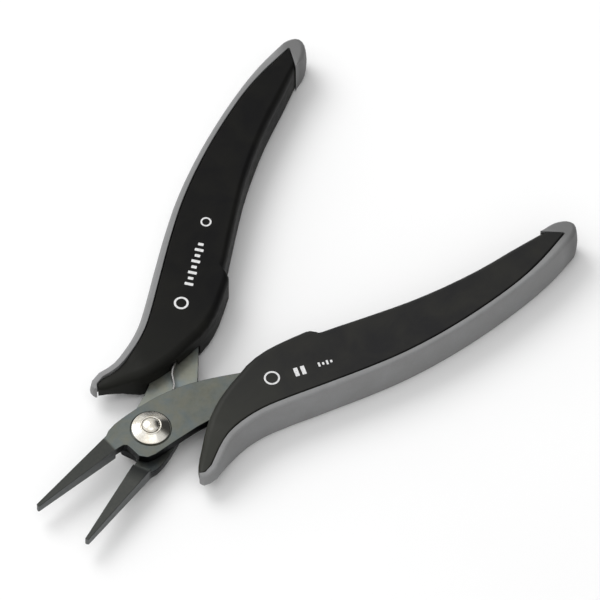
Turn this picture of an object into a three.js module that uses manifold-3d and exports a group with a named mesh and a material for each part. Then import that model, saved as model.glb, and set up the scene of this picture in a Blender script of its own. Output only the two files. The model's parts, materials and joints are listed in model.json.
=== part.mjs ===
// Small electronics pliers with flat snipe-nose jaws, a lap joint and two-tone grips.
// Units are millimetres and +Z is up: the pliers lie flat, and the pivot axis is Z.
// +X runs from the pivot along the centre line of the open handles, and +Y is the side of
// the rear lever's handle. The origin is on the pivot axis, at the back of the rivet's head.
//
// Both levers are the same forging. Each is drawn once, closed, with its handle at +Y, its
// jaw at -Y and the middle of the joint at z = 0. The rear lever is that drawing turned open.
// The front lever is the same drawing turned half a turn about X, and opened the other way.

import * as THREE from "three";
import { mergeVertices } from "three/addons/utils/BufferGeometryUtils.js";
import Module from "manifold-3d";

// ---- Joint ----
const OPENING_DEG = 23.5;         // angle that closing the handles takes up
const PLATE_THICKNESS = 2.35;     // one half of the lap joint
const LAP_GAP = 0.1;              // running gap between the two halves
const BOSS_HALF_WIDTH = 6.4;      // centre of the joint to its side
const BOSS_FRONT = 7.1;           // pivot to the flat front of the boss, at the throat
const SHANK_RADIUS = 2.1;         // rivet shank
const BORE_CLEARANCE = 0.08;      // radial, around the shank
const HEAD_RADIUS = 4.6;          // rivet head and conical collar
const HEAD_THICKNESS = 1.2;       // flat head at the back
const SEAT_DEPTH = 0.3;           // shallow round seat in each lever's outer face
const SEAT_CLEARANCE = 0.25;      // radial, around the head and the collar
const COLLAR_RIM = 0.75;          // straight foot of the conical collar
const COLLAR_HEIGHT = 1.75;       // seat to the collar's lip
const LIP_WIDTH = 0.5;            // flat lip around the shank's domed end
const DOME_HEIGHT = 0.75;         // domed end above the lip
const END_PLAY = 0.05;            // axial, under the head and under the collar

// ---- Jaw ----
const JAW_REACH = 33.6;           // pivot to tip
const JAW_ROOT = 10.2;            // pivot to where the full jaw starts
const JAW_THICKNESS = 3.7;        // at the root
const SHOULDER_WIDTH = 5.05;      // gripping face to the outer side, at the root
const TIP_WIDTH = 0.95;
const TIP_THICKNESS = 2.2;
const FACE_GAP_TIP = 0.15;        // each gripping face to the centre plane when closed
const FACE_GAP_ROOT = 0.55;

// ---- Handle ----
const HANDLE_START = 25.2;        // pivot to where the steel goes into the grip
const HANDLE_REACH = 108.9;       // pivot to the end of the hard core, along X
const TANG_END_COVER = 15.9;      // core beyond the end of the steel inside it
const TANG_ROOT_WIDTH = 7.4;
const TANG_END_WIDTH = 5.0;
const TANG_ROOT = 29.0;           // where the tang gets thicker, inside the grip
const TANG_LIFT = 1.6;            // height of the thick tang above the middle of the joint
const TANG_CLEARANCE = 0.3;       // pocket in the core around the steel

// ---- Grip ----
const GRIP_THICKNESS = 10.4;
const PRONG_THICKNESS = 3.6;      // at the tip of the finger guard
const PRONG_LENGTH = 13.0;        // along the grip, over which it thickens
const CORE_ROUNDING = 1.9;        // inner edges of the hard core
const SEAM_ROUNDING = 0.3;        // its edges along the soft sleeve
const SEAM_GAP = 0.3;             // groove between core and sleeve
const SLEEVE_WIDTH = 1.55;        // soft sleeve, seen from the front, near the joint
const SLEEVE_WIDTH_FAR = 1.2;     // and three quarters of the way along the handle
const SLEEVE_ROUNDING = 1.0;
const SLEEVE_BELLY = 0.6;         // how far the outer wall swells at mid thickness
const CAP_LENGTH = 4.4;           // soft end beyond the core
const PRONG_END_WIDTH = 1.45;     // soft wall round the tip of the finger guard
const REAR_PRONG_SLIDE = 3.3;     // the rear lever's finger guard is shorter by this much
const PRONG_SLIDE_END = 13.0;     // where along X the two guards become the same

// ---- Return spring ----
const LEAF_THICKNESS = 0.4;
const LEAF_HEIGHT = 2.0;
const LEAF_LIFT = 0.3;            // gap to the face of the lever that carries it
const LEAF_ANCHOR = 6.5;          // length held inside the core

// ---- Heights, from the middle of the joint ----
const LAP_HALF = LAP_GAP / 2;
const FACE_HEIGHT = LAP_HALF + PLATE_THICKNESS;
const JOINT_HEIGHT = FACE_HEIGHT - SEAT_DEPTH + END_PLAY + HEAD_THICKNESS;
const GRIP_HALF = GRIP_THICKNESS / 2;
const TANG_REACH = HANDLE_REACH - TANG_END_COVER;

const ROUND_SEGMENTS = 48;
const SEAM_STEPS = 52;
const SEAM_FINE_STEPS = 120;
const OVER_STEEL_STEPS = 26;
const FINGER_STEPS = 12;
const PALM_STEPS = 24;
const CAP_STEPS = 14;
const WELD_DISTANCE = 1e-4;

const wasm = await Module();
wasm.setup();

// ---------- Points and curves ----------

const point = (x, y) => new THREE.Vector2(x, y);

/** Smooth open curve through a few points, as evenly spaced points along its length. */
function smooth(controls, steps) {
  const knots = controls.map((p) => new THREE.Vector3(p.x, p.y, 0));
  const curve = new THREE.CatmullRomCurve3(knots, false, "centripetal");
  curve.arcLengthDivisions = 600;
  return curve.getSpacedPoints(steps).map((p) => point(p.x, p.y));
}

/** Point at a fraction of a polyline's length. */
function pointAt(path, fraction) {
  const lengths = [0];
  for (let i = 1; i < path.length; i += 1) {
    lengths.push(lengths[i - 1] + path[i].distanceTo(path[i - 1]));
  }
  const wanted = THREE.MathUtils.clamp(fraction, 0, 1) * lengths.at(-1);
  let i = 1;
  while (i < path.length - 1 && lengths[i] < wanted) {
    i += 1;
  }
  const share = (wanted - lengths[i - 1]) / (lengths[i] - lengths[i - 1]);
  return path[i - 1].clone().lerp(path[i], share);
}

/** Unit normal on the left of a path, averaged over the two legs that meet at a point. */
function leftNormal(path, i, closed) {
  const count = path.length;
  const before = closed ? path[(i + count - 1) % count] : path[Math.max(i - 1, 0)];
  const after = closed ? path[(i + 1) % count] : path[Math.min(i + 1, count - 1)];
  const along = after.clone().sub(before).normalize();
  return point(-along.y, along.x);
}

/** Path moved sideways to its left, by a width that may change from point to point. */
function offsetPath(path, width, closed = false) {
  return path.map((p, i) => p.clone().addScaledVector(leftNormal(path, i, closed), width(i)));
}

/** Arc from one angle to another, in degrees, around a centre. */
function arc(cx, cy, radius, fromDeg, toDeg, steps) {
  const points = [];
  for (let i = 0; i <= steps; i += 1) {
    const angle = THREE.MathUtils.degToRad(THREE.MathUtils.lerp(fromDeg, toDeg, i / steps));
    points.push(point(cx + radius * Math.cos(angle), cy + radius * Math.sin(angle)));
  }
  return points;
}

// ---------- Solids ----------

function toSolid(geometry) {
  const bare = geometry.clone();
  bare.deleteAttribute("normal");
  bare.deleteAttribute("uv");
  const merged = mergeVertices(bare, WELD_DISTANCE);
  const vertProperties = new Float32Array(merged.attributes.position.array);
  const triVerts = new Uint32Array(merged.index.array);
  return new wasm.Manifold(new wasm.Mesh({ numProp: 3, vertProperties, triVerts }));
}

function toGeometry(solid) {
  const mesh = solid.getMesh();
  const geometry = new THREE.BufferGeometry();
  geometry.setAttribute("position", new THREE.BufferAttribute(mesh.vertProperties, 3));
  geometry.setIndex(new THREE.BufferAttribute(mesh.triVerts, 1));
  geometry.computeVertexNormals();
  return geometry;
}

/** Flat outline made solid between two heights. */
function slab(outline, low, high) {
  const shape = new THREE.Shape(outline);
  const depth = high - low;
  const geometry = new THREE.ExtrudeGeometry(shape, { depth, bevelEnabled: false });
  geometry.translate(0, 0, low);
  return toSolid(geometry);
}

/** Solid turned about Z from a profile of [radius, height] pairs that ends on the axis. */
function turned(profile) {
  const points = profile.map(([radius, height]) => point(radius, height));
  const geometry = new THREE.LatheGeometry(points, ROUND_SEGMENTS);
  geometry.rotateX(Math.PI / 2);
  return toSolid(geometry);
}

function disc(radius, low, high) {
  return turned([[0, low], [radius, low], [radius, high], [0, high]]);
}

/** Solid skinned over a row of rings with equal point counts, closed by a fan at each end. */
function loft(rings) {
  const count = rings[0].length;
  const positions = [];
  rings.forEach((ring) => ring.forEach((p) => positions.push(p.x, p.y, p.z)));
  const ends = [rings[0], rings.at(-1)];
  ends.forEach((ring) => {
    const middle = ring.reduce((sum, p) => sum.add(p), new THREE.Vector3());
    middle.divideScalar(count);
    positions.push(middle.x, middle.y, middle.z);
  });
  const firstHub = rings.length * count;
  const lastRow = (rings.length - 1) * count;
  const index = [];
  for (let k = 0; k < count; k += 1) {
    const next = (k + 1) % count;
    for (let row = 0; row < rings.length - 1; row += 1) {
      const a = row * count;
      const b = a + count;
      index.push(a + k, a + next, b + next, a + k, b + next, b + k);
    }
    index.push(firstHub, next, k);
    index.push(firstHub + 1, lastRow + k, lastRow + next);
  }
  const geometry = new THREE.BufferGeometry();
  geometry.setAttribute("position", new THREE.Float32BufferAttribute(positions, 3));
  geometry.setIndex(index);
  return toSolid(geometry);
}

// ---------- Steel lever ----------

const TIP_X = -JAW_REACH;
const ROOT_X = -JAW_ROOT;

/** Middle line of the tang, inside the grip. */
function tangMiddle() {
  const reach = (share) => THREE.MathUtils.lerp(TANG_ROOT, TANG_REACH, share);
  return smooth([
    point(reach(0), 6.6), point(reach(0.15), 9.2), point(reach(0.35), 13.2),
    point(reach(0.55), 16.6), point(reach(0.78), 18.8), point(reach(1), 19.2),
  ], 14);
}

function tangSides(extra) {
  const middle = tangMiddle();
  const steps = middle.length - 1;
  const half = (i) => THREE.MathUtils.lerp(TANG_ROOT_WIDTH, TANG_END_WIDTH, i / steps) / 2 + extra;
  const outer = offsetPath(middle, half);
  const inner = offsetPath(middle, (i) => -half(i));
  const back = middle[0].clone().sub(middle[1]).setLength(extra);
  outer[0].add(back);
  inner[0].add(back);
  const end = middle.at(-1);
  const cap = arc(end.x, end.y, TANG_END_WIDTH / 2 + extra, -88, 88, 8);
  return { inner, cap, outer };
}

/** Outline of the jaw alone, from the gripping face around the tip to the shoulder. */
function jawEdge() {
  return [
    point(ROOT_X, -FACE_GAP_ROOT),
    point(TIP_X, -FACE_GAP_TIP),
    point(TIP_X - 0.1, -FACE_GAP_TIP - TIP_WIDTH / 2),
    point(TIP_X + 0.1, -FACE_GAP_TIP - TIP_WIDTH),
    point(ROOT_X + 0.7, -SHOULDER_WIDTH),
  ];
}

/** Side of the lever from the shoulder past the joint to the inner corner of the grip. */
function innerSide() {
  const side = -BOSS_HALF_WIDTH;
  return smooth([
    point(ROOT_X + 2.1, side + 0.55), point(-5.6, side), point(1.5, side - 0.1),
    point(7.7, side + 0.45), point(13.0, side + 1.65), point(19.0, side + 3.9), point(25.6, 0.75),
  ], 16);
}

/** Side of the lever from the grip back past the joint to the front of the boss. */
function outerSide() {
  const side = BOSS_HALF_WIDTH;
  const back = smooth([
    point(24.0, 9.6), point(17.0, 8.3), point(11.5, side + 0.35),
    point(5.5, side), point(-3.6, side - 0.15),
  ], 9);
  const front = -BOSS_FRONT;
  return back.concat([
    point(front + 1.5, side - 0.6), point(front + 0.15, side - 2.2), point(front, 1.0),
    point(front - 0.15, 0.1), point(front - 0.75, -0.45), point(ROOT_X + 0.9, -FACE_GAP_ROOT),
  ]);
}

function leverOutline() {
  const tang = tangSides(0);
  return jawEdge().concat(innerSide(), tang.inner, tang.cap, tang.outer.reverse(), outerSide());
}

/** Wedge above a sloping plane, which thins the jaw from its root to its tip. */
function jawRelief(rootHeight, tipHeight, outward) {
  const run = JAW_REACH - JAW_ROOT;
  const past = 3;
  const slope = (rootHeight - tipHeight) / run;
  const far = tipHeight - slope * past;
  const sky = rootHeight + 6;
  const profile = [
    point(ROOT_X, rootHeight), point(ROOT_X, sky), point(TIP_X - past, sky), point(TIP_X - past, far),
  ];
  const geometry = new THREE.ExtrudeGeometry(new THREE.Shape(profile), { depth: 30, bevelEnabled: false });
  geometry.rotateX(Math.PI / 2);
  geometry.translate(0, 15, 0);
  if (outward < 0) {
    geometry.rotateX(Math.PI);
  }
  return toSolid(geometry);
}

function lever() {
  const outline = leverOutline();
  const tang = tangSides(0);
  const tangOutline = tang.inner.concat(tang.cap, tang.outer.reverse());
  const plate = slab(outline, -FACE_HEIGHT, -LAP_HALF);
  const jawTop = JAW_THICKNESS - FACE_HEIGHT;
  const jaw = slab(jawEdge(), -LAP_HALF - 0.5, jawTop);
  const tangBlock = slab(tangOutline, -FACE_HEIGHT, TANG_LIFT);
  const bore = disc(SHANK_RADIUS + BORE_CLEARANCE, -FACE_HEIGHT - 1, FACE_HEIGHT);
  const seat = disc(HEAD_RADIUS + SEAT_CLEARANCE, -FACE_HEIGHT - 1, -FACE_HEIGHT + SEAT_DEPTH);
  const inner = jawRelief(jawTop, TIP_THICKNESS / 2, 1);
  const outer = jawRelief(FACE_HEIGHT, TIP_THICKNESS / 2, -1);
  return plate.add(jaw).add(tangBlock).subtract(bore).subtract(seat).subtract(inner).subtract(outer);
}

// ---------- Grip ----------

/** X of a point on the handle, as a share of the way from its start to the core's end. */
const onHandle = (share) => THREE.MathUtils.lerp(HANDLE_START, HANDLE_REACH, share);

/** Point on the finger guard, slid along X by an amount that fades out towards the handle. */
function onProng(x, y, slide) {
  return point(x + slide * (1 - THREE.MathUtils.smoothstep(x, 2, PRONG_SLIDE_END)), y);
}

/** Seam between core and sleeve, from the prong's tip to the outer end of the core. */
function seamLine(steps, slide) {
  return smooth([
    onProng(2.4, 17.0, slide), onProng(3.8, 16.95, slide), onProng(5.3, 16.35, slide),
    onProng(7.2, 15.4, slide), onProng(9.6, 14.4, slide),
    point(12.6, 13.5), point(17.0, 12.95), point(22.5, 13.2),
    point(onHandle(0.034), 14.35), point(onHandle(0.157), 17.15), point(onHandle(0.284), 19.95),
    point(onHandle(0.396), 22.0), point(onHandle(0.523), 23.35), point(onHandle(0.666), 23.85),
    point(onHandle(0.81), 23.4), point(onHandle(0.9), 22.2), point(HANDLE_REACH, 20.0),
  ], steps);
}

/** Inner edge of the core: round the prong, over the steel, past the finger step, to the end. */
function coreInner(slide) {
  const overSteel = smooth([
    onProng(1.35, 16.35, slide), onProng(1.9, 15.3, slide), onProng(3.3, 13.75, slide),
    onProng(5.7, 11.8, slide), onProng(8.2, 9.8, slide),
    point(11.5, 7.4), point(16.0, 4.9), point(20.5, 3.2), point(HANDLE_START, 1.9),
  ], OVER_STEEL_STEPS);
  const fingerPart = smooth([
    point(onHandle(0.012), 1.4), point(onHandle(0.063), 0.75), point(onHandle(0.117), 0.8),
    point(onHandle(0.177), 1.6), point(onHandle(0.229), 2.5),
  ], FINGER_STEPS);
  const step = [
    point(onHandle(0.24), 2.95), point(onHandle(0.247), 3.7), point(onHandle(0.252), 4.5),
    point(onHandle(0.264), 4.95),
  ];
  const palmPart = smooth([
    point(onHandle(0.303), 5.9), point(onHandle(0.411), 8.7), point(onHandle(0.522), 11.4),
    point(onHandle(0.609), 13.0), point(onHandle(0.685), 14.1), point(onHandle(0.761), 14.9),
    point(onHandle(0.863), 15.5), point(onHandle(0.952), 16.3),
  ], PALM_STEPS);
  return overSteel.concat(fingerPart, step, palmPart);
}

/** Half thickness of the grip at a distance along it from the prong's tip. */
function halfThickness(distance) {
  const share = THREE.MathUtils.smoothstep(distance, 0, PRONG_LENGTH);
  return THREE.MathUtils.lerp(PRONG_THICKNESS / 2, GRIP_HALF, share);
}

/** Upright ring between two points: rounded corners at each end, and a swelling far wall. */
function upright(near, far, half, nearRadius, farRadius, belly) {
  const width = near.distanceTo(far);
  const across = far.clone().sub(near).normalize();
  const nearR = Math.min(nearRadius, 0.48 * width, 0.9 * half);
  const farR = Math.min(farRadius, 0.48 * width, 0.9 * half);
  const quarter = 4;
  const corners = [
    [farR, -(half - farR), farR, -90], [farR, half - farR, farR, 0],
    [nearR, half - nearR, nearR, 90], [nearR, -(half - nearR), nearR, 180],
  ];
  const ring = [];
  corners.forEach(([inset, z, radius, start], i) => {
    const centre = i < 2 ? width - inset : inset;
    arc(centre, z, radius, start, start + 90, quarter).forEach((p) => {
      const swell = i < 2 ? belly * (1 - (p.y / half) ** 2) : 0;
      const flat = near.clone().addScaledVector(across, p.x + swell);
      ring.push(new THREE.Vector3(flat.x, flat.y, p.y));
    });
    if (i === 0 && belly > 0) {
      [-0.45, 0, 0.45].forEach((level) => {
        const flat = near.clone().addScaledVector(across, width + belly * (1 - level ** 2));
        ring.push(new THREE.Vector3(flat.x, flat.y, level * half));
      });
    }
  });
  return ring;
}

/** Places of the core's rings along the grip, closer together at the tip and the finger step. */
function coreStations(inner) {
  const step = OVER_STEEL_STEPS + FINGER_STEPS + 3;
  return inner.map((p, i) => i).filter((i) => {
    const nearStep = Math.abs(i - step) < 4;
    return nearStep || i < 3 || i % 2 === 0 || i === inner.length - 1;
  });
}

function pathLength(path) {
  return path.reduce((sum, p, i) => (i === 0 ? 0 : sum + p.distanceTo(path[i - 1])), 0);
}

function coreBody(slide) {
  const inner = coreInner(slide);
  const seam = seamLine(SEAM_FINE_STEPS, slide);
  const total = pathLength(inner);
  const rings = coreStations(inner).map((i) => {
    const distance = pathLength(inner.slice(0, i + 1));
    const share = distance / total;
    const far = pointAt(seam, share);
    return upright(inner[i], far, halfThickness(distance), CORE_ROUNDING, SEAM_ROUNDING, 0);
  });
  return loft(rings);
}

/** Room for the steel inside the core, a clearance larger all round. */
function steelPocket() {
  const outline = offsetPath(leverOutline(), () => -TANG_CLEARANCE, true);
  const tang = tangSides(TANG_CLEARANCE);
  const tangOutline = tang.inner.concat(tang.cap, tang.outer.reverse());
  const low = -FACE_HEIGHT - TANG_CLEARANCE;
  const plate = slab(outline, low, -LAP_HALF + TANG_CLEARANCE);
  return plate.add(slab(tangOutline, low, TANG_LIFT + TANG_CLEARANCE));
}

function core(slide) {
  const slot = leafSolid(LEAF_THICKNESS / 2 + TANG_CLEARANCE, TANG_CLEARANCE);
  return coreBody(slide).subtract(steelPocket()).subtract(slot);
}

/** Width of the sleeve's front at a share of the seam's length. */
function sleeveWidth(share) {
  const mid = THREE.MathUtils.smoothstep(share, 0.2, 0.7);
  const swell = THREE.MathUtils.smoothstep(share, 0.82, 1);
  const prong = 1 - THREE.MathUtils.smoothstep(share, 0, 0.12);
  const plain = THREE.MathUtils.lerp(SLEEVE_WIDTH, SLEEVE_WIDTH_FAR, mid);
  return plain + 0.7 * swell - 0.1 * prong;
}

/** Outer edge of the soft end, from the seam's side round to the inner corner of the core. */
function capLine(outerCorner, innerCorner, start, steps) {
  const end = HANDLE_REACH + CAP_LENGTH - SLEEVE_BELLY;
  return smooth([
    start, point(end - 2.6, outerCorner.y + 2.0), point(end - 0.75, outerCorner.y + 0.75),
    point(end, outerCorner.y - 0.7), point(end - 0.7, outerCorner.y - 2.3),
    point(end - 2.6, outerCorner.y - 3.5), innerCorner.clone().add(point(3.4, -0.25)),
    innerCorner.clone().add(point(0.8, -0.1)),
  ], steps);
}

/**
 * The sleeve's near and far edges. They start beside the prong's inner edge, go round its tip,
 * follow the seam and go round the end of the core to its inner corner.
 */
function sleeveEdges(slide) {
  const seam = seamLine(SEAM_STEPS, slide);
  const steps = seam.length - 1;
  const near = [];
  const far = [];
  const distances = [];
  const add = (onCore, away, width, distance) => {
    near.push(onCore.clone().addScaledVector(away, SEAM_GAP));
    far.push(onCore.clone().addScaledVector(away, SEAM_GAP + width));
    distances.push(distance);
  };

  const prongInner = coreInner(slide)[0];
  const prongOut = leftNormal([prongInner, seam[0]], 0, false);
  [[0, 0.35], [0.35, 0.7], [0.75, 0.95]].forEach(([place, width]) => {
    add(prongInner.clone().lerp(seam[0], place), prongOut, PRONG_END_WIDTH * width, 0);
  });
  seam.forEach((p, i) => {
    const away = leftNormal(seam, i, false);
    add(p, away, sleeveWidth(i / steps), pathLength(seam.slice(0, i + 1)));
  });

  const outerCorner = seam.at(-1);
  const innerCorner = coreInner(slide).at(-1);
  const capOut = leftNormal([outerCorner, innerCorner], 0, false);
  const seamOut = leftNormal(seam, steps, false);
  const turn = capOut.angle() - seamOut.angle();
  const fanTurn = turn > Math.PI ? turn - 2 * Math.PI : turn;
  const full = distances.at(-1);
  const outline = capLine(outerCorner, innerCorner, far.at(-1), CAP_STEPS);
  const fanShare = 0.55;
  for (let i = 1; i <= CAP_STEPS; i += 1) {
    const share = i / CAP_STEPS;
    const around = Math.min(share / fanShare, 1);
    const along = Math.max(0, (share - fanShare) / (1 - fanShare));
    const away = seamOut.clone().rotateAround(point(0, 0), fanTurn * around);
    near.push(outerCorner.clone().lerp(innerCorner, along).addScaledVector(away, SEAM_GAP));
    far.push(outline[i]);
    distances.push(full);
  }
  return { near, far, distances };
}

function sleeve(slide) {
  const { near, far, distances } = sleeveEdges(slide);
  const rings = near.map((p, i) => {
    const half = halfThickness(distances[i] + 2);
    const room = 0.3 * p.distanceTo(far[i]);
    const belly = Math.min(SLEEVE_BELLY * (half / GRIP_HALF), room);
    return upright(p, far[i], half, 0.12, SLEEVE_ROUNDING, belly);
  });
  return loft(rings);
}

// ---------- Return spring ----------

/** Middle line of the leaf, from its anchor inside the core to its tip on the other lever. */
function leafLine() {
  return smooth([
    point(19.0 + LEAF_ANCHOR, 5.6), point(19.0, 3.6), point(17.6, 3.35), point(15.9, 2.65),
    point(14.4, 1.5), point(13.2, 0.75), point(12.3, 0.55),
  ], 22);
}

function leafSolid(halfWidth, room) {
  const line = leafLine();
  line[0].add(line[0].clone().sub(line[1]).setLength(room));
  const left = offsetPath(line, () => halfWidth);
  const right = offsetPath(line, () => -halfWidth);
  const low = -LAP_HALF + LEAF_LIFT - room;
  return slab(left.concat(right.reverse()), low, -LAP_HALF + LEAF_LIFT + LEAF_HEIGHT + room);
}

// ---------- Rivet ----------

/** Rivet: flat head behind, shank through both levers and the collar, domed end in front. */
function rivet() {
  const seat = -FACE_HEIGHT + SEAT_DEPTH - END_PLAY;
  const back = seat - HEAD_THICKNESS;
  const lip = FACE_HEIGHT - SEAT_DEPTH + END_PLAY + COLLAR_HEIGHT;
  const edge = 0.35;
  const profile = [
    [0, back], [HEAD_RADIUS - edge, back], [HEAD_RADIUS, back + edge], [HEAD_RADIUS, seat],
    [SHANK_RADIUS, seat], [SHANK_RADIUS, lip],
  ];
  const domeSteps = 6;
  for (let i = 1; i <= domeSteps; i += 1) {
    const angle = (Math.PI / 2) * (i / domeSteps);
    profile.push([SHANK_RADIUS * Math.cos(angle), lip + DOME_HEIGHT * Math.sin(angle)]);
  }
  profile[profile.length - 1][0] = 0;
  return turned(profile);
}

/** Conical collar in front, held by the shank's domed end. */
function collar() {
  const seat = FACE_HEIGHT - SEAT_DEPTH + END_PLAY;
  const bore = SHANK_RADIUS + BORE_CLEARANCE;
  const lip = SHANK_RADIUS + LIP_WIDTH;
  const edge = 0.18;
  return turned([
    [bore, seat], [HEAD_RADIUS, seat], [HEAD_RADIUS, seat + COLLAR_RIM - edge],
    [HEAD_RADIUS - edge, seat + COLLAR_RIM], [lip, seat + COLLAR_HEIGHT - edge],
    [lip - 0.08, seat + COLLAR_HEIGHT], [bore, seat + COLLAR_HEIGHT], [bore, seat],
  ]);
}

// ---------- Assembly ----------

const COLOURS = {
  steel: { color: 0x6c6f68, metalness: 0.85, roughness: 0.42 },
  nickel: { color: 0xd8d4c8, metalness: 1.0, roughness: 0.18 },
  hardBlack: { color: 0x1c1c1b, metalness: 0.0, roughness: 0.55 },
  softGrey: { color: 0x8b8c8d, metalness: 0.0, roughness: 0.75 },
  spring: { color: 0xb9bab6, metalness: 1.0, roughness: 0.3 },
};

function piece(name, solid, look) {
  const mesh = new THREE.Mesh(toGeometry(solid), new THREE.MeshStandardMaterial(COLOURS[look]));
  mesh.name = name;
  return mesh;
}

/** One lever with its core, sleeve and leaf, in the closed drawing's place. */
function leverGroup(side, prongSlide) {
  const group = new THREE.Group();
  group.add(piece(`${side}_lever`, lever(), "steel"));
  group.add(piece(`${side}_grip_core`, core(prongSlide), "hardBlack"));
  group.add(piece(`${side}_grip_sleeve`, sleeve(prongSlide), "softGrey"));
  group.add(piece(`${side}_return_spring`, leafSolid(LEAF_THICKNESS / 2, 0), "spring"));
  return group;
}

function assembly() {
  const halfOpening = THREE.MathUtils.degToRad(OPENING_DEG / 2);
  const rear = leverGroup("rear", REAR_PRONG_SLIDE);
  rear.rotation.z = halfOpening;
  const turnedOver = leverGroup("front", 0);
  turnedOver.rotation.x = Math.PI;
  const front = new THREE.Group();
  front.add(turnedOver);
  front.rotation.z = -halfOpening;
  const joint = new THREE.Group();
  joint.position.z = JOINT_HEIGHT;
  joint.add(front, rear, piece("pivot_rivet", rivet(), "nickel"));
  joint.add(piece("pivot_collar", collar(), "nickel"));
  const model = new THREE.Group();
  model.add(joint);
  return model;
}

export default assembly();
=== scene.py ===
"""Small electronics pliers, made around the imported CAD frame. All lengths are in metres."""

import json
import math

import bmesh
import bpy
from mathutils import Matrix, Vector


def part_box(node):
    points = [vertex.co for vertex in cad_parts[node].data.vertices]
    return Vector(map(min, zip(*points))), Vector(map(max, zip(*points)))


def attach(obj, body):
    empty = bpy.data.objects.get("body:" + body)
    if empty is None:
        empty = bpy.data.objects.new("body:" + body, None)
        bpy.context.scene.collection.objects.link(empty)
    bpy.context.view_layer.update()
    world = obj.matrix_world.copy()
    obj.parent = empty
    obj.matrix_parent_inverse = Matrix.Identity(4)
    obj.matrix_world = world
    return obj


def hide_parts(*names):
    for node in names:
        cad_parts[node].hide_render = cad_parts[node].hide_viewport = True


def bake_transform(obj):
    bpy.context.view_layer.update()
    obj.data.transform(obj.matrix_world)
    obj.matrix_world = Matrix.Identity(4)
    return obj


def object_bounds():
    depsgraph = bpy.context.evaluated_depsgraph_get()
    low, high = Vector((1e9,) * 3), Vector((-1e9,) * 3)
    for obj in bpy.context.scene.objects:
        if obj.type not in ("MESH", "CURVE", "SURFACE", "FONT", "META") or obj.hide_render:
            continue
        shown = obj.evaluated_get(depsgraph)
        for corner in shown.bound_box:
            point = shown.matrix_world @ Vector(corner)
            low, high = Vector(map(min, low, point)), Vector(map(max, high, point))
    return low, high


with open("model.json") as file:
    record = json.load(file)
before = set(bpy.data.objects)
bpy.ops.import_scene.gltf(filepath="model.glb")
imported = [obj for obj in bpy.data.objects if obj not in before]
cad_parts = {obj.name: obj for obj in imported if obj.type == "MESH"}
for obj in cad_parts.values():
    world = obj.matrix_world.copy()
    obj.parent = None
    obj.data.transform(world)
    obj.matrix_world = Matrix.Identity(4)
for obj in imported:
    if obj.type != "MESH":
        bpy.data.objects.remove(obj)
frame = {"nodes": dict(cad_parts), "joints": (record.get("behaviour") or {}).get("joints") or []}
CAD_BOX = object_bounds()

MM = 0.001
SIDES = ("front", "rear")

# ---- View: a square window of this width, aimed this far right of the pivot and above it ----
AZIMUTH = math.radians(-50.9)
ELEVATION = math.radians(56.36)
WINDOW = 140.85 * MM
RIGHT_OF_PIVOT = 34.96 * MM
ABOVE_PIVOT = 33.31 * MM
CAMERA_DISTANCE = 5.0
SENSOR = 36.0
HALF_OPENING = math.radians(frame["joints"][0]["range_deg"][1] / 2)

# ---------------------------------------------------------------- shader nodes


class Shader:
    """A material's node tree, with short calls for the nodes that all the materials share."""

    def __init__(self, name):
        self.material = bpy.data.materials.new(name)
        self.material.use_nodes = True
        self.tree = self.material.node_tree
        self.surface = self.tree.nodes["Principled BSDF"]
        coordinates = self.add("ShaderNodeTexCoord").outputs
        self.place = coordinates["Object"]
        self.facing = coordinates["Normal"]

    def add(self, kind, links=(), **settings):
        made = self.tree.nodes.new(kind)
        for key, value in settings.items():
            setattr(made, key, value)
        for socket, source in dict(links).items():
            if isinstance(source, bpy.types.NodeSocket):
                self.tree.links.new(source, made.inputs[socket])
            else:
                made.inputs[socket].default_value = source
        return made

    def stretched(self, scale):
        """Object coordinates, scaled separately along X, Y and Z."""
        made = self.add("ShaderNodeMapping", {"Vector": self.place, "Scale": scale})
        return made.outputs["Vector"]

    def noise(self, scale, detail=4.0, rough=0.55, place=None, warp=0.0):
        links = {
            "Vector": place or self.place,
            "Scale": scale,
            "Detail": detail,
            "Roughness": rough,
            "Distortion": warp,
        }
        return self.add("ShaderNodeTexNoise", links).outputs["Fac"]

    def spread(self, value, low, high, out_low=0.0, out_high=1.0):
        links = {
            "Value": value,
            "From Min": low,
            "From Max": high,
            "To Min": out_low,
            "To Max": out_high,
        }
        return self.add("ShaderNodeMapRange", links).outputs["Result"]

    def maths(self, operation, a, b):
        made = self.add("ShaderNodeMath", {0: a, 1: b}, operation=operation)
        return made.outputs[0]

    def blend(self, share, a, b):
        links = {"Factor": share, "A": a, "B": b}
        made = self.tree.nodes.new("ShaderNodeMix")
        made.data_type = "RGBA"
        sockets = {"Factor": 0, "A": 6, "B": 7}
        for key, source in links.items():
            target = made.inputs[sockets[key]]
            if isinstance(source, bpy.types.NodeSocket):
                self.tree.links.new(source, target)
            else:
                target.default_value = source
        return made.outputs[2]

    def drive(self, socket, source):
        self.tree.links.new(source, self.surface.inputs[socket])

    def bump(self, height, depth, strength=1.0):
        links = {"Height": height, "Distance": depth, "Strength": strength}
        self.drive("Normal", self.add("ShaderNodeBump", links).outputs["Normal"])

    def plain(self, **values):
        for socket, value in values.items():
            self.surface.inputs[socket.replace("_", " ")].default_value = value


def grey(value, warm=0.0):
    return (value * (1 + warm), value, value * (1 - warm), 1.0)


# ---------------------------------------------------------------- materials


def along_lever(s):
    """Signed distance from the pivot: exact along the open jaws, where it is below zero, and a
    little short along the grips, which lie on the other side of the pivot."""
    parts = s.add("ShaderNodeSeparateXYZ", {"Vector": s.place}).outputs
    aside = s.maths("ABSOLUTE", parts["Y"], 0.0)
    return s.maths(
        "SUBTRACT",
        s.maths("MULTIPLY", parts["X"], math.cos(HALF_OPENING)),
        s.maths("MULTIPLY", aside, math.sin(HALF_OPENING)),
    )


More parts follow.
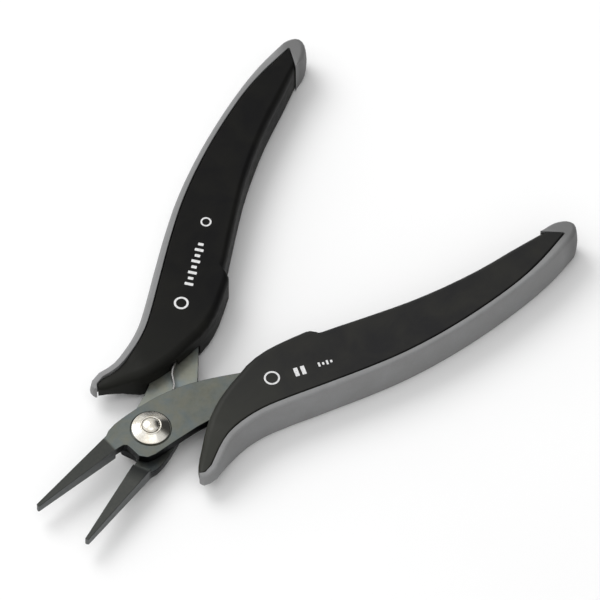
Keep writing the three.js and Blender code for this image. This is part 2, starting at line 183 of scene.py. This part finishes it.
def lifted(colour, share):
    """A colour made lighter or darker by this share, never past white."""
    return tuple(min(channel * share, 1.0) for channel in colour) + (1.0,)


OLIVE_STEEL = (0.124, 0.127, 0.103)
BLUE_STEEL = (0.092, 0.113, 0.119)
DARK_PATCH = (0.08, 0.083, 0.067)
GROUND_FLECK = (0.17, 0.173, 0.16)
JAW_DARK = (0.034, 0.036, 0.034)
JAW_LIGHT = (0.046, 0.047, 0.043)
SHADOW_BEHIND_BOSS = (0.012, 0.013, 0.013, 1)
GROUND_WALL = (0.115, 0.12, 0.12, 1)
OXIDE_AND_SHADE_WALL = (0.005, 0.006, 0.007, 1)
PAINTED_RIM_SHADOW = (0.03, 0.032, 0.032, 1)
RIM_WIDTH = 0.3 * MM
JAW_PAINTED_LIFT_SHARE = 0.35

# Places along the lever, measured as along_lever does.
BOSS_END = -9.9 * MM
JAW_START = -10.5 * MM
BOSS_SHADE_FULL = -11 * MM
BOSS_SHADE_END = -14.5 * MM
HANDLE_SHADE_FULL = -3 * MM
HANDLE_SHADE_END = 2 * MM
JAW_WALL = -10.6 * MM
BOSS_WALL = -9.5 * MM


def blackened_steel(name, lift, root):
    """Ground flats are mid grey with oxide tints and the jaws darker. Every edge carries a painted
    shadow line, and the walls of the boss and handles are black, partly dark oxide and partly
    painted shade.

    lift makes a lever lighter. This is painted light, which gives one lever a lit tone and the
    other a shaded one. root sets how much painted shadow darkens the flat that lies behind the
    other lever's boss.
    """
    s = Shader(name)
    cloud = s.spread(s.noise(230, 5, 0.6, warp=0.6), 0.36, 0.66)
    patch = s.spread(s.noise(95, 4, 0.6, warp=0.8), 0.4, 0.66)
    fleck = s.spread(s.noise(1300, 4, 0.65), 0.3, 0.7)
    # lift paints light into the whole lever's colour.
    tint = s.blend(cloud, lifted(OLIVE_STEEL, lift), lifted(BLUE_STEEL, lift))
    tint = s.blend(s.maths("MULTIPLY", patch, 0.45), tint, lifted(DARK_PATCH, lift))
    colour = s.blend(s.maths("MULTIPLY", fleck, 0.3), tint, lifted(GROUND_FLECK, lift))
    along = along_lever(s)
    jaw = s.spread(along, BOSS_END, JAW_START)
    jaw_painted_lift = 1 + JAW_PAINTED_LIFT_SHARE * (lift - 1)
    jaw_tone = s.blend(fleck, lifted(JAW_DARK, jaw_painted_lift), lifted(JAW_LIGHT, jaw_painted_lift))
    colour = s.blend(jaw, colour, jaw_tone)
    # Painted shadow: the flat behind the other lever's boss is darkened where that boss would shade
    # it.
    shadow_behind_boss = s.maths(
        "MULTIPLY",
        s.spread(along, BOSS_SHADE_END, BOSS_SHADE_FULL),
        s.spread(along, HANDLE_SHADE_END, HANDLE_SHADE_FULL),
    )
    colour = s.blend(s.maths("MULTIPLY", shadow_behind_boss, root), colour, SHADOW_BEHIND_BOSS)
    # Upright walls away from the jaws are painted black, partly the steel's dark oxide and partly
    # painted shade; the jaws' walls keep a grey ground tone.
    upright = s.add("ShaderNodeSeparateXYZ", {"Vector": s.facing}).outputs["Z"]
    wall = s.spread(s.maths("ABSOLUTE", upright, 0.0), 0.95, 0.55)
    oxide_and_shade_walls = s.spread(along, JAW_WALL, BOSS_WALL)
    wall_tone = s.blend(oxide_and_shade_walls, GROUND_WALL, OXIDE_AND_SHADE_WALL)
    colour = s.blend(wall, colour, wall_tone)
    # Painted shadow: a dark line within RIM_WIDTH of every edge stands in for the shade where the
    # parts meet.
    rounded = s.add("ShaderNodeBevel", {"Radius": RIM_WIDTH}, samples=6).outputs["Normal"]
    normal = s.add("ShaderNodeNewGeometry").outputs["Normal"]
    both = {0: rounded, 1: normal}
    match = s.add("ShaderNodeVectorMath", both, operation="DOT_PRODUCT").outputs["Value"]
    rim_shadow = s.spread(match, 0.985, 0.86, 0.0, 0.8)
    s.drive("Base Color", s.blend(rim_shadow, colour, PAINTED_RIM_SHADOW))
    grind = s.noise(900, 5, 0.6, place=s.stretched((0.12, 1.6, 1.6)))
    s.drive("Roughness", s.spread(s.maths("ADD", grind, fleck), 0.6, 1.4, 0.36, 0.5))
    s.bump(grind, 0.012 * MM, 0.7)
    s.plain(Metallic=0.85, Specular_IOR_Level=0.2)
    return s.material


def nickel():
    """Bright turned metal with fine rings about the pivot and a few brownish stains."""
    s = Shader("nickel")
    ring = s.add(
        "ShaderNodeTexWave",
        {"Vector": s.place, "Scale": 2600.0, "Distortion": 1.5, "Detail": 3.0, "Detail Scale": 1.5},
        wave_type="RINGS",
        rings_direction="Z",
    ).outputs["Fac"]
    stain = s.spread(s.noise(420, 5, 0.6), 0.42, 0.7)
    s.drive("Base Color", s.blend(stain, (0.80, 0.78, 0.72, 1), (0.58, 0.53, 0.44, 1)))
    s.drive("Roughness", s.spread(stain, 0, 1, 0.13, 0.27))
    s.bump(ring, 0.006 * MM, 0.5)
    s.plain(Metallic=1.0)
    return s.material


def spring_steel():
    """Rolled strip with a fine grain along it."""
    s = Shader("spring_steel")
    rolled = s.noise(1500, 4, 0.6, place=s.stretched((0.3, 0.3, 2.5)))
    s.drive("Base Color", s.blend(rolled, grey(0.2), grey(0.34, 0.03)))
    s.drive("Roughness", s.spread(rolled, 0.3, 0.7, 0.2, 0.36))
    s.bump(rolled, 0.008 * MM, 0.5)
    s.plain(Metallic=1.0)
    return s.material


DEEP_BLACK = (0.0058, 0.0058, 0.0062)
WARM_BLACK = (0.0098, 0.0096, 0.0084)
JOINT_BLACK = (0.018, 0.0183, 0.0155)
JOINT_FADE_START = 34 * MM
JOINT_FADE_END = 2 * MM


def hard_black(name, lift, gloss):
    """Smooth matte moulding, a little paler and warmer towards the joint."""
    s = Shader(name)
    cloud = s.spread(s.noise(120, 4, 0.55, warp=0.4), 0.35, 0.68)
    grain = s.noise(5200, 3, 0.6)
    near_joint = s.spread(along_lever(s), JOINT_FADE_START, JOINT_FADE_END, 0.0, 0.9)
    # lift paints light or shade into the whole moulding's colour.
    shade = s.blend(cloud, lifted(DEEP_BLACK, lift), lifted(WARM_BLACK, lift))
    s.drive("Base Color", s.blend(near_joint, shade, lifted(JOINT_BLACK, lift)))
    scuff = s.noise(700, 5, 0.65, place=s.stretched((0.35, 1.4, 1.0)))
    s.drive("Roughness", s.spread(scuff, 0.3, 0.7, 0.42, 0.56))
    s.bump(grain, 0.02 * MM, 0.6)
    s.plain(Specular_IOR_Level=gloss)
    return s.material


CAP_FADE_START = 88 * MM
CAP_FADE_END = 92 * MM


def soft_grey():
    """Soft matte overmoulding with a fine grain, darker round the grips' ends."""
    s = Shader("soft_grey")
    cloud = s.spread(s.noise(160, 5, 0.6, warp=0.3), 0.34, 0.68)
    grain = s.noise(4200, 4, 0.62)
    shade = s.blend(cloud, grey(0.205), grey(0.24, -0.01))
    cap = s.spread(along_lever(s), CAP_FADE_START, CAP_FADE_END)
    shade = s.blend(cap, shade, grey(0.135))
    s.drive("Base Color", s.blend(s.spread(grain, 0.3, 0.7, 0.0, 0.25), shade, grey(0.12)))
    s.drive("Roughness", s.spread(cloud, 0, 1, 0.56, 0.7))
    s.bump(grain, 0.03 * MM, 0.6)
    s.plain(Specular_IOR_Level=0.35)
    return s.material


def white_ink():
    """Printing that is thin in places."""
    s = Shader("white_ink")
    thin = s.spread(s.noise(2600, 4, 0.6), 0.35, 0.62)
    s.drive("Base Color", s.blend(thin, grey(0.5), grey(0.72)))
    s.drive("Roughness", s.spread(thin, 0, 1, 0.6, 0.45))
    return s.material


def pale_floor():
    s = Shader("pale_floor")
    fleck = s.noise(14, 4, 0.5)
    s.drive("Base Color", s.blend(fleck, grey(0.86), grey(0.89)))
    s.plain(Roughness=0.9, Specular_IOR_Level=0.1)
    return s.material


# ---------------------------------------------------------------- pieces

WELD = 1e-7
FLAT_DEG = 0.35
SHARP_DEG = 34
NOSE_DEPTH = 3.0 * MM
SHORTEST_CORNER = 2 * MM
UPRIGHT = 0.97  # share of an edge's length that runs along Z


def round_nose(work, radius):
    """Rounds the upright corners at the end of a grip that guards the fingers."""

    def along(point):
        return point.x * math.cos(HALF_OPENING) + abs(point.y) * math.sin(HALF_OPENING)

    nose_end = min(along(v.co) for v in work.verts) + NOSE_DEPTH
    corners = []
    for edge in work.edges:
        first, second = (v.co for v in edge.verts)
        span = second - first
        upright = span.length >= SHORTEST_CORNER and abs(span.z) >= UPRIGHT * span.length
        if not upright or len(edge.link_faces) != 2:
            continue
        sharp = edge.calc_face_angle() > math.radians(SHARP_DEG)
        if sharp and along((first + second) / 2) < nose_end:
            corners.append(edge)
    bmesh.ops.bevel(
        work,
        geom=corners,
        offset=radius,
        segments=5,
        profile=0.5,
        affect="EDGES",
        clamp_overlap=True,
    )


def refined(node, name, body, material, bevel, segments=3, nose=0.0):
    """A copy of a CAD node's shape with its edges rounded, which stands for that node."""
    mesh = frame["nodes"][node].data.copy()
    mesh.name = name
    piece = bpy.data.objects.new(name, mesh)
    bpy.context.scene.collection.objects.link(piece)
    work = bmesh.new()
    work.from_mesh(mesh)
    bmesh.ops.remove_doubles(work, verts=work.verts, dist=WELD)
    bmesh.ops.dissolve_limit(
        work, angle_limit=math.radians(FLAT_DEG), verts=work.verts, edges=work.edges
    )
    if nose:
        round_nose(work, nose)
    work.to_mesh(mesh)
    work.free()
    mesh.materials.clear()
    mesh.materials.append(material)
    mesh.polygons.foreach_set("use_smooth", [True] * len(mesh.polygons))
    mesh.set_sharp_from_angle(angle=math.radians(SHARP_DEG))
    if bevel:
        rounding = piece.modifiers.new("rounding", "BEVEL")
        rounding.width = bevel
        rounding.segments = segments
        rounding.limit_method = "ANGLE"
        rounding.angle_limit = math.radians(SHARP_DEG)
        rounding.harden_normals = True
        rounding.use_clamp_overlap = True
    even = piece.modifiers.new("even_normals", "WEIGHTED_NORMAL")
    even.keep_sharp = True
    even.weight = 60
    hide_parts(node)
    if body:
        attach(piece, body)
    return piece


# One steel in two copies: the rear lever is painted lighter than the front, and its flat behind the
# front boss carries a painted shadow.
STEEL = {
    "front": blackened_steel("front_steel", lift=1.0, root=0.0),
    "rear": blackened_steel("rear_steel_painted_light_and_shade", lift=1.8, root=0.85),
}
NICKEL = nickel()
SPRING = spring_steel()
# One black moulding in two copies: the front core is painted lighter and the rear core darker,
# painted light and shade.
BLACK = {
    "front": hard_black("front_black_painted_light", lift=1.7, gloss=0.14),
    "rear": hard_black("rear_black_painted_shade", lift=0.8, gloss=0.07),
}
GREY = soft_grey()
INK = white_ink()

LEVER_EDGE = 0.22 * MM
CORE_EDGE = 0.12 * MM
CORE_NOSE = 1.0 * MM
SLEEVE_NOSE = 0.7 * MM
RIVET_EDGE = 0.05 * MM
COLLAR_EDGE = 0.06 * MM
LEAF_EDGE = 0.05 * MM

for side in SIDES:
    lever, core, sleeve = (f"{side}_{part}" for part in ("lever", "grip_core", "grip_sleeve"))
    refined(lever, f"{side}_lever_steel", side, STEEL[side], LEVER_EDGE)
    refined(core, f"{side}_grip_hard", side, BLACK[side], CORE_EDGE, 2, CORE_NOSE)
    refined(sleeve, f"{side}_grip_soft", side, GREY, 0.0, nose=SLEEVE_NOSE)
refined("pivot_rivet", "rivet", "front", NICKEL, RIVET_EDGE, 2)
refined("pivot_collar", "rivet_collar", "front", NICKEL, COLLAR_EDGE, 2)

for side, other in (SIDES, SIDES[::-1]):
    spring = f"{side}_return_spring"
    leaf = refined(spring, f"{side}_leaf", None, SPRING, LEAF_EDGE, 2)
    low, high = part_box(spring)
    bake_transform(leaf)

# ---------------------------------------------------------------- printed marks

INK_THICKNESS = 0.02 * MM
INK_SUNK = 0.01 * MM


def ring_mark(radius, width, steps=40):
    """Outer and inner circle of a plain ring."""
    circles = []
    for size in (radius, radius - width):
        turn = [2 * math.pi * i / steps for i in range(steps)]
        circles.append([(size * math.cos(t), size * math.sin(t)) for t in turn])
    return circles


def bar_mark(x, width, height, corner=0.12 * MM, steps=3):
    """Outline of one upright bar with rounded corners."""
    outline = []
    for i, (sx, sy) in enumerate(((1, 1), (-1, 1), (-1, -1), (1, -1))):
        cx, cy = x + sx * (width / 2 - corner), sy * (height / 2 - corner)
        for k in range(steps + 1):
            t = math.pi / 2 * (i + k / steps)
            outline.append((cx + corner * math.cos(t), cy + corner * math.sin(t)))
    return [outline]


def add_mark(work, loops, origin, turn):
    """One mark as a closed thin solid: a filled outline, or the band between two circles."""
    c, s = math.cos(math.radians(turn)), math.sin(math.radians(turn))

    def corner(x, y, lift):
        return work.verts.new(origin + Vector((c * x - s * y, s * x + c * y, lift)))

    bottom, top = (
        [[corner(x, y, lift) for x, y in loop] for loop in loops]
        for lift in (0.0, INK_SUNK + INK_THICKNESS)
    )
    count = len(loops[0])
    steps = [(i, (i + 1) % count) for i in range(count)]
    for lower, upper in zip(bottom, top):
        for i, j in steps:
            work.faces.new((lower[i], lower[j], upper[j], upper[i]))
    if len(loops) == 1:
        work.faces.new(top[0])
        work.faces.new(bottom[0][::-1])
        return
    for outer, inner in (bottom, top):
        for i, j in steps:
            work.faces.new((outer[i], outer[j], inner[j], inner[i]))


def print_marks(name, body, node, turn, marks):
    """Plain marks printed on a core's flat front. Each stands at a share of the core's box."""
    low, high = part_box(node)
    work = bmesh.new()
    for share_x, share_y, loops in marks:
        x = low.x + share_x * (high.x - low.x)
        y = low.y + share_y * (high.y - low.y)
        add_mark(work, loops, Vector((x, y, high.z - INK_SUNK)), turn)
    bmesh.ops.recalc_face_normals(work, faces=work.faces)
    mesh = bpy.data.meshes.new(name)
    work.to_mesh(mesh)
    work.free()
    mesh.materials.append(INK)
    piece = bpy.data.objects.new(name, mesh)
    bpy.context.scene.collection.objects.link(piece)
    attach(piece, body)


def bars(count, pitch, width, heights):
    """A row of upright bars, centred, whose heights repeat."""
    first = -pitch * (count - 1) / 2
    return [
        bar_mark(first + i * pitch, width, heights[i % len(heights)]) for i in range(count)
    ]


REAR_TURN = 25.2
FRONT_TURN = -32.1
rear_bars = bars(8, 1.65 * MM, 0.75 * MM, (2.1 * MM, 1.3 * MM))
front_pair = bars(2, 1.7 * MM, 1.0 * MM, (2.4 * MM,))
front_bars = bars(4, 1.0 * MM, 0.5 * MM, (1.2 * MM, 0.7 * MM))
print_marks("rear_marks", "rear", "rear_grip_core", REAR_TURN, [
    (0.288, 0.251, ring_mark(1.75 * MM, 0.5 * MM)),
    (0.50, 0.534, ring_mark(1.3 * MM, 0.4 * MM)),
    *[(0.392, 0.377, bar) for bar in rear_bars],
])
print_marks("front_marks", "front", "front_grip_core", FRONT_TURN, [
    (0.282, 0.789, ring_mark(1.9 * MM, 0.45 * MM)),
    *[(0.336, 0.68, bar) for bar in front_pair],
    *[(0.389, 0.591, bar) for bar in front_bars],
])

# ---------------------------------------------------------------- floor, light, camera

FLOOR_SIZE = 6.0
FLOOR_CENTRE_X = 0.05
FLOOR_GAP = 0.02 * MM
low, high = CAD_BOX
MIDDLE = (low + high) / 2

floor_place = (FLOOR_CENTRE_X, 0, low.z - FLOOR_GAP)
bpy.ops.mesh.primitive_plane_add(size=FLOOR_SIZE, location=floor_place)
floor = bpy.context.object
floor.name = "floor"
floor.data.materials.append(pale_floor())

# Each row: a side of the room, the cosine to it where a change starts and ends, and the two levels.
ROOM_LIGHT = (
    ((-0.6, 0.6, 0.5), -1.0, 1.0, 0.42, 1.1),
    ((0.85, -0.17, 0.5), 0.8, 0.96, 1.0, 0.08),
)


def studio_light():
    """A pale room, brighter behind the grips, with one dim side that the bright metal mirrors."""
    world = bpy.data.worlds.new("studio")
    bpy.context.scene.world = world
    world.use_nodes = True
    tree = world.node_tree
    direction = tree.nodes.new("ShaderNodeTexCoord").outputs["Generated"]
    sockets = ("From Min", "From Max", "To Min", "To Max")
    levels = []
    for side, *limits in ROOM_LIGHT:
        toward = tree.nodes.new("ShaderNodeVectorMath")
        toward.operation = "DOT_PRODUCT"
        toward.inputs[1].default_value = Vector(side).normalized()
        tree.links.new(direction, toward.inputs[0])
        level = tree.nodes.new("ShaderNodeMapRange")
        level.interpolation_type = "SMOOTHSTEP"
        for socket, value in zip(sockets, limits):
            level.inputs[socket].default_value = value
        tree.links.new(toward.outputs["Value"], level.inputs["Value"])
        levels.append(level.outputs["Result"])
    both = tree.nodes.new("ShaderNodeMath")
    both.operation = "MULTIPLY"
    tree.links.new(levels[0], both.inputs[0])
    tree.links.new(levels[1], both.inputs[1])
    backdrop = tree.nodes["Background"].inputs
    backdrop["Color"].default_value = (1, 1, 1, 1)
    tree.links.new(both.outputs["Value"], backdrop["Strength"])


def lamp(name, turn, elevation, distance, size, power):
    """A round area lamp aimed at the pliers. Its turn and elevation are in degrees."""
    data = bpy.data.lights.new(name, "AREA")
    data.shape = "DISK"
    data.size = size
    data.energy = power
    t, e = math.radians(turn), math.radians(elevation)
    toward = Vector((math.sin(t) * math.cos(e), -math.cos(t) * math.cos(e), math.sin(e)))
    made = bpy.data.objects.new(name, data)
    made.location = MIDDLE + toward * distance
    made.rotation_mode = "QUATERNION"
    made.rotation_quaternion = (-toward).to_track_quat("-Z", "Y")
    bpy.context.scene.collection.objects.link(made)


studio_light()
lamp("key", turn=175, elevation=50, distance=0.9, size=0.6, power=3.3)
lamp("overhead", turn=300, elevation=78, distance=1.0, size=0.7, power=0.8)


def photo_camera():
    right = Vector((math.cos(AZIMUTH), math.sin(AZIMUTH), 0))
    back = Vector((
        math.sin(AZIMUTH) * math.cos(ELEVATION),
        -math.cos(AZIMUTH) * math.cos(ELEVATION),
        math.sin(ELEVATION),
    ))
    up = back.cross(right)
    aim = right * RIGHT_OF_PIVOT + up * ABOVE_PIVOT
    data = bpy.data.cameras.new("photo_camera")
    data.sensor_width = SENSOR
    data.lens = SENSOR * CAMERA_DISTANCE / WINDOW
    data.clip_start, data.clip_end = 0.1, 20.0
    made = bpy.data.objects.new("photo_camera", data)
    turn = Matrix((right, up, back)).transposed().to_4x4()
    made.matrix_world = Matrix.Translation(aim + back * CAMERA_DISTANCE) @ turn
    bpy.context.scene.collection.objects.link(made)
    bpy.context.scene.camera = made


photo_camera()
bpy.context.scene.view_settings.view_transform = "Standard"
